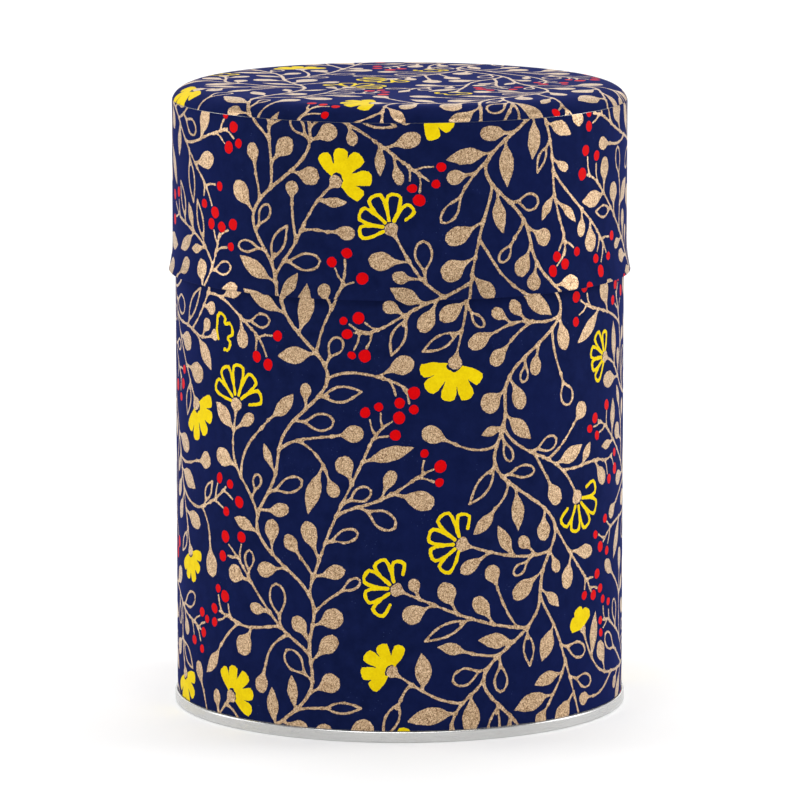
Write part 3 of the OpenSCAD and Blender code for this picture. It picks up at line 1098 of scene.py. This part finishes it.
def printed_flat(name, dark, light, roughness):
    s = Shader(name)
    grain = s.span(s.noise(2600, 3.0, 0.6), 0.3, 0.7)
    patch = s.span(s.noise(500, 2.0), 0.35, 0.65)
    uneven = s.math("ADD", s.math("MULTIPLY", grain, 0.6), s.math("MULTIPLY", patch, 0.4))
    return s.made(Base_Color=s.mix(uneven, dark, light), Specular_IOR_Level=0.03,
                  Roughness=s.span(grain, 0, 1, roughness, roughness + 0.1),
                  Normal=s.bump(fibres(s), 0.3, 0.00004))


def plain_paper(name, dark, light):
    s = Shader(name)
    weave = s.noise(1500, 4.0, 0.65, s.stretched((1.0, 1.0, 0.4)), 0.8)
    return s.made(Base_Color=s.mix(s.span(weave, 0.3, 0.7), dark, light),
                  Roughness=s.span(weave, 0.2, 0.8, 0.75, 0.92), Normal=s.bump(weave, 0.5, 0.00005))


def tinplate(name, tint, roughness):
    """Bright rolled sheet: fine grain round the tin and faint smudges."""
    s = Shader(name)
    rolled = s.noise(240, 4.0, 0.6, s.stretched((1.0, 1.0, 14.0)))
    smudge = s.span(s.noise(55, 4.0, 0.6, distortion=0.8), 0.35, 0.7)
    spangle = s.span(s.cells(700), 0.0, 0.9)
    dull = tuple(c * 0.86 for c in tint[:3]) + (1.0,)
    colour = s.mix(s.math("MULTIPLY", s.span(rolled, 0.3, 0.7), 0.5), tint, dull)
    colour = s.mix(s.math("MULTIPLY", smudge, 0.25), colour, dull)
    grain = s.span(rolled, 0.3, 0.7, roughness, roughness + 0.1)
    rough = s.math("ADD", grain, s.math("MULTIPLY", smudge, 0.07))
    return s.made(Base_Color=colour, Metallic=1.0, Roughness=rough,
                  Normal=s.bump(spangle, 0.04, 0.00001, s.bump(rolled, 0.06, 0.00002)))


def compound(name):
    s = Shader(name)
    lumps = s.noise(1400, 3.0, 0.6)
    return s.made(Base_Color=s.mix(lumps, srgb(70, 70, 70), srgb(112, 110, 106)),
                  Roughness=s.span(lumps, 0.2, 0.8, 0.6, 0.8), Normal=s.bump(lumps, 0.4, 0.00005))


paper_materials = [
    printed_ground("paper_navy"),
    printed_gold("ink_gold"),
    printed_flat("ink_yellow", srgb(220, 188, 4), srgb(238, 212, 12), 0.5),
    printed_flat("ink_red", srgb(198, 2, 8), srgb(216, 4, 10), 0.45),
    plain_paper("paper_edge", srgb(48, 56, 98), srgb(146, 150, 168)),
    plain_paper("paper_back", srgb(206, 200, 188), srgb(236, 232, 222)),
]
finishes = {
    "tinplate": tinplate("tinplate", (0.62, 0.62, 0.61, 1.0), 0.17),
    "knob_plate": tinplate("knob_plate", (0.66, 0.66, 0.65, 1.0), 0.1),
    "sealing_compound": compound("sealing_compound"),
}
for part in frame["record"]["subparts"]:
    if part["material_slot"] in finishes:
        materials = frame["nodes"][part["node"]].data.materials
        materials.clear()
        materials.append(finishes[part["material_slot"]])


# ---- pieces ----

side_print = side_sheet(around + LAP + SPARE, PRINT_LOW, PRINT_HIGH, SIDE_SEED)
ramp = [around - RAMP, around - RAMP / 2, around]
body_profile = Profile([(body_r, body_high), (body_r, body_low)], [(1, 0), (1, 0)])
paper_piece("body_paper", side_print,
            printed_strip(side_print, (0, body_low), (around + LAP, body_high), [], ramp),
            wrapped(body_profile, body_high), "body_wrap", "tin_body")

side_profile = lid_side_profile()
levels = joint_z - side_profile.along
paper_piece("lid_side_paper", side_print,
            printed_strip(side_print, (0, levels[-1]), (around + LAP, joint_z), levels[1:-1], ramp),
            wrapped(side_profile, joint_z), "lid_side_wrap", "outer_lid")

top_profile = lid_top_profile()
top_radius = top_profile.along[-1]
top_print = top_sheet(top_radius, TOP_SEED)
paper_piece("lid_top_paper", top_print,
            printed_disc(top_print, top_radius, top_profile.along[CROWN_ROWS:-1]),
            domed(top_profile), "lid_top_wrap", "outer_lid")


# ---- studio, in metres ----

FLOOR = 12.0  # from the middle of the floor to its edges
HORIZON, ZENITH = 0.85, 0.3  # brightness of the surroundings low down and overhead
MIDDLE = (0, 0, 0.06)  # what the lights point at
ELEVATION, DISTANCE, AIM = math.radians(9.025), 1.152, 0.055  # of the camera, and the height it points at


def floor():
    mesh = bpy.data.meshes.new("floor")
    corners = [(x * FLOOR, y * FLOOR, 0) for x, y in ((-1, -1), (1, -1), (1, 1), (-1, 1))]
    mesh.from_pydata(corners, [], [(0, 1, 2, 3)])
    s = Shader("floor")
    mesh.materials.append(s.made(Base_Color=s.mix(s.noise(6), (0.9, 0.9, 0.9, 1), (0.92, 0.92, 0.92, 1)),
                                 Roughness=0.8, Emission_Color=(1, 1, 1, 1), Emission_Strength=0.12))
    return linked("floor", mesh)


def studio_world():
    """Plain white surroundings, brighter low down."""
    world = bpy.data.worlds.new("studio")
    world.use_nodes = True
    nodes, links = world.node_tree.nodes, world.node_tree.links
    split = nodes.new("ShaderNodeSeparateXYZ")
    links.new(nodes.new("ShaderNodeTexCoord").outputs["Generated"], split.inputs[0])
    fall = nodes.new("ShaderNodeMapRange")
    fall.interpolation_type = "SMOOTHSTEP"
    links.new(split.outputs["Z"], fall.inputs["Value"])
    for key, value in (("From Min", 0.05), ("From Max", 0.6), ("To Min", HORIZON), ("To Max", ZENITH)):
        fall.inputs[key].default_value = value
    links.new(fall.outputs["Result"], nodes["Background"].inputs["Strength"])
    nodes["Background"].inputs["Color"].default_value = (1, 1, 1, 1)
    return world


def softbox(name, where, size, power, aim=MIDDLE):
    data = bpy.data.lights.new(name, "AREA")
    data.shape, data.energy = "RECTANGLE", power
    data.size, data.size_y = size
    light = linked(name, data)
    light.location = where
    light.rotation_euler = (Vector(aim) - Vector(where)).to_track_quat("-Z", "Y").to_euler()


floor()
scene = bpy.context.scene
scene.view_settings.view_transform = "Standard"
scene.world = studio_world()
softbox("overhead", (0, 1.3, 2.6), (3.0, 3.0), 36, aim=(0, 1.0, 0))
softbox("back", (0, 2.0, 0.9), (3.0, 0.9), 10)
softbox("front", (-0.1, -1.05, 1.3), (2.4, 0.4), 12.8)
softbox("side_left", (-0.9, 0.15, 0.3), (0.4, 1.0), 3.2)
softbox("side_right", (0.9, 0.15, 0.3), (0.4, 1.0), 4.4)

view = bpy.data.cameras.new("camera")
view.lens, view.sensor_width = 282.4, 36.0
view.shift_x, view.shift_y = 0.0004, 0.003
view.clip_start, view.clip_end = 0.01, 100
camera = linked("camera", view)
camera.location = (0, -DISTANCE * math.cos(ELEVATION), AIM + DISTANCE * math.sin(ELEVATION))
camera.rotation_euler = (math.pi / 2 - ELEVATION, 0, 0)
scene.camera = camera
